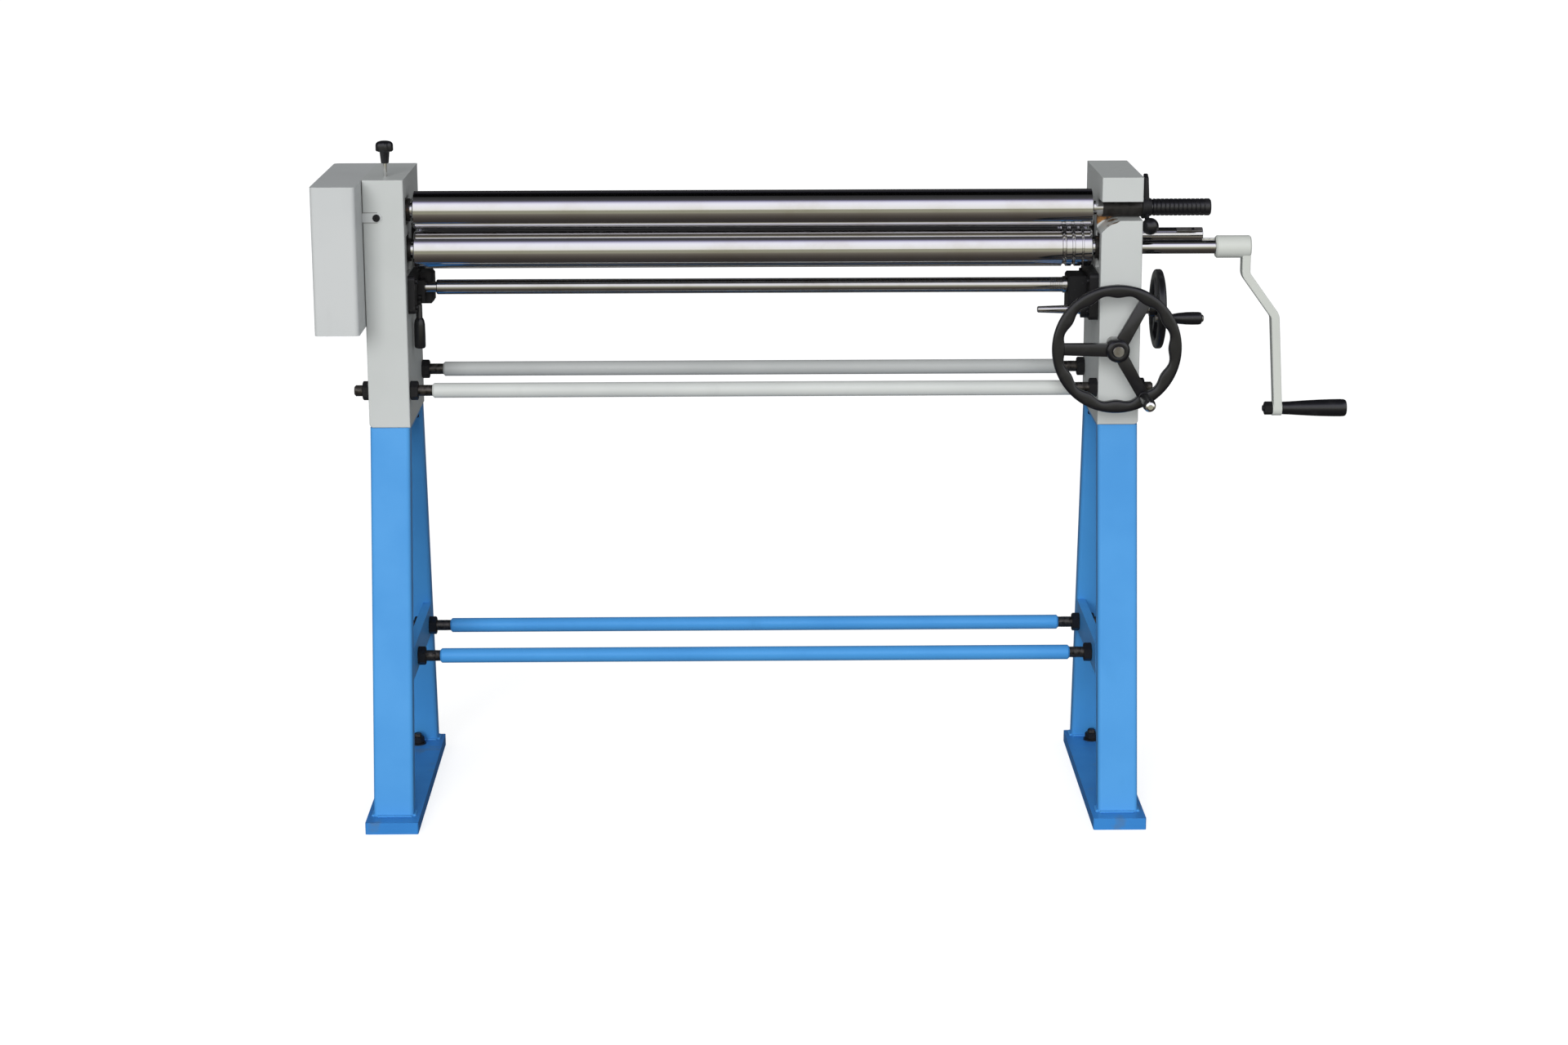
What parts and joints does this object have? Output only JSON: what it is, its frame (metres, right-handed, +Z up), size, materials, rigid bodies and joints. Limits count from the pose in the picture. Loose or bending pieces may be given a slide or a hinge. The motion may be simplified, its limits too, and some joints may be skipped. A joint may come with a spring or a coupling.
{
  "type": "slip roll machine",
  "caption": "Hand-cranked slip roll with geared pinch rolls, lifting rear roll, swing-out top roll, gear cover and a raked floor stand.",
  "frame": {"origin": "on the floor under the nip line, midway between the two side frames, at the centre of the four anchor holes", "axes": "+X along the rolls towards the crank, +Y to the back where the rear roll is, +Z up"},
  "size_m": [2.0625, 0.59, 1.361],
  "materials": {
    "casting_paint": "semi-gloss off-white enamel on a casting",
    "crank_paint": "semi-gloss off-white enamel",
    "stand_paint": "semi-gloss blue enamel",
    "polished_steel": "ground and polished",
    "machined_steel": "turned steel with an oil film",
    "bearing_iron": "dark oiled iron",
    "black_oxide": "black oxide",
    "black_plastic": "moulded, semi-gloss"
  },
  "bodies": {
    "frame": {"left_frame": "casting_paint", "right_frame": "casting_paint", "gear_cover": "casting_paint", "cover_screws": "black_oxide", "left_front_post": "stand_paint", "left_rear_post": "stand_paint", "right_front_post": "stand_paint", "right_rear_post": "stand_paint", "left_base_plate": "stand_paint", "right_base_plate": "stand_paint", "left_strap": "stand_paint", "right_strap": "stand_paint", "cap_plates": "stand_paint", "foot_bolts": "black_oxide", "frame_bolts": "black_oxide", "upper_front_tie": "casting_paint", "upper_rear_tie": "casting_paint", "lower_front_tie": "stand_paint", "lower_rear_tie": "stand_paint", "upper_tie_nuts": "black_oxide", "lower_tie_nuts": "black_oxide", "left_housing": "black_oxide", "right_housing": "black_oxide"},
    "nip_carriage": {"lower_blocks": "bearing_iron", "lower_bushes": "bearing_iron", "nip_screws": "machined_steel"},
    "lower_roll": {"lower_roll": "polished_steel", "lower_gear": "machined_steel", "crank_arm": "crank_paint", "crank_pin": "black_oxide"},
    "crank_handle": {"crank_grip": "black_plastic"},
    "top_swivel": {"swivel_block": "bearing_iron", "top_left_bush": "bearing_iron"},
    "top_roll": {"top_roll": "polished_steel", "top_gear": "machined_steel"},
    "lock": {"lock_bush": "bearing_iron", "lock_lever": "black_oxide", "lock_ball": "black_plastic"},
    "pull_grip": {"pull_grip": "black_plastic"},
    "nip_wheel": {"nip_handwheel": "black_plastic", "nip_shaft": "machined_steel", "nip_handle_pin": "machined_steel"},
    "nip_wheel_handle": {"nip_handle": "black_plastic"},
    "nip_nut": {"nip_nut": "machined_steel"},
    "bend_wheel": {"bend_handwheel": "black_plastic", "bend_shaft": "machined_steel", "bend_handle_pin": "machined_steel"},
    "bend_wheel_handle": {"bend_handle": "black_plastic"},
    "cross_shaft": {"cross_shaft": "polished_steel"},
    "right_rear_nut": {"right_rear_nut": "machined_steel"},
    "left_rear_nut": {"left_rear_nut": "machined_steel"},
    "rear_carriage": {"rear_blocks": "bearing_iron", "rear_bushes": "bearing_iron", "rear_screws": "machined_steel"},
    "rear_roll": {"rear_roll": "polished_steel", "rear_key": "machined_steel"},
    "lock_knob": {"lock_knob": "black_plastic"},
    "clutch_lever": {"clutch_lever": "black_plastic"}
  },
  "joints": [
    {"name": "nip_lift", "type": "slide", "parent": "frame", "child": "nip_carriage", "axis": [0, 0, 1], "range_m": [-0.002, 0.004]},
    {"name": "crank_turn", "type": "hinge", "parent": "nip_carriage", "child": "lower_roll", "pos_m": [0, 0, 1.143], "axis": [1, 0, 0], "continuous": true},
    {"name": "crank_handle_spin", "type": "hinge", "parent": "lower_roll", "child": "crank_handle", "pos_m": [1.135, 0, 0.812], "axis": [1, 0, 0], "continuous": true},
    {"name": "top_roll_swing", "type": "hinge", "parent": "frame", "child": "top_swivel", "pos_m": [-0.731, 0, 1.223], "axis": [0, 0, -1], "range_deg": [0, 3.5]},
    {"name": "top_roll_turn", "type": "hinge", "parent": "top_swivel", "child": "top_roll", "pos_m": [0, 0, 1.223], "axis": [1, 0, 0], "continuous": true},
    {"name": "lock_lever_turn", "type": "hinge", "parent": "top_swivel", "child": "lock", "pos_m": [0.783, 0, 1.223], "axis": [1, 0, 0], "range_deg": [-90, 0]},
    {"name": "pull_grip_spin", "type": "hinge", "parent": "top_swivel", "child": "pull_grip", "pos_m": [0.855, 0, 1.223], "axis": [1, 0, 0], "continuous": true},
    {"name": "nip_wheel_turn", "type": "hinge", "parent": "frame", "child": "nip_wheel", "pos_m": [0.814, 0, 1.017], "axis": [1, 0, 0], "range_deg": [-288, 576]},
    {"name": "nip_handle_spin", "type": "hinge", "parent": "nip_wheel", "child": "nip_wheel_handle", "pos_m": [0.859, -0.06239, 1.00823], "axis": [1, 0, 0], "continuous": true},
    {"name": "nip_nut_turn", "type": "hinge", "parent": "frame", "child": "nip_nut", "pos_m": [0.716, 0, 1.07], "axis": [0, 0, 1], "range_deg": [-576, 288]},
    {"name": "bend_wheel_turn", "type": "hinge", "parent": "frame", "child": "bend_wheel", "pos_m": [0.716, -0.14, 0.961], "axis": [0, 1, 0], "range_deg": [-1440, 3960]},
    {"name": "bend_handle_spin", "type": "hinge", "parent": "bend_wheel", "child": "bend_wheel_handle", "pos_m": [0.772, -0.19, 0.86401], "axis": [0, 1, 0], "continuous": true},
    {"name": "cross_shaft_turn", "type": "hinge", "parent": "frame", "child": "cross_shaft", "pos_m": [0, 0.048, 1.06], "axis": [1, 0, 0], "range_deg": [-1440, 3960]},
    {"name": "right_rear_nut_turn", "type": "hinge", "parent": "frame", "child": "right_rear_nut", "pos_m": [0.716, 0.098, 1.06], "axis": [0, 0, 1], "range_deg": [-1440, 3960]},
    {"name": "left_rear_nut_turn", "type": "hinge", "parent": "frame", "child": "left_rear_nut", "pos_m": [-0.716, 0.098, 1.06], "axis": [0, 0, 1], "range_deg": [-1440, 3960]},
    {"name": "rear_lift", "type": "slide", "parent": "frame", "child": "rear_carriage", "axis": [0, 0, 1], "range_m": [-0.02, 0.055]},
    {"name": "rear_roll_turn", "type": "hinge", "parent": "rear_carriage", "child": "rear_roll", "pos_m": [0, 0.098, 1.153], "axis": [1, 0, 0], "continuous": true},
    {"name": "lock_knob_turn", "type": "hinge", "parent": "frame", "child": "lock_knob", "pos_m": [-0.731, 0, 1.34], "axis": [0, 0, 1], "range_deg": [-20, 360]},
    {"name": "clutch_lever_swing", "type": "hinge", "parent": "frame", "child": "clutch_lever", "pos_m": [-0.676, 0.038, 1.04], "axis": [1, 0, 0], "range_deg": [-40, 0]}
  ],
  "couplings": [
    {"joint": "top_roll_turn", "follows": "crank_turn", "ratio": -1},
    {"joint": "nip_wheel_turn", "follows": "nip_lift", "rad_per_m": 2513.3},
    {"joint": "nip_nut_turn", "follows": "nip_lift", "rad_per_m": -2513.3},
    {"joint": "right_rear_nut_turn", "follows": "bend_wheel_turn", "ratio": 1},
    {"joint": "left_rear_nut_turn", "follows": "bend_wheel_turn", "ratio": 1},
    {"joint": "cross_shaft_turn", "follows": "bend_wheel_turn", "ratio": 1},
    {"joint": "rear_lift", "follows": "bend_wheel_turn", "m_per_rad": 0.00079577}
  ]
}
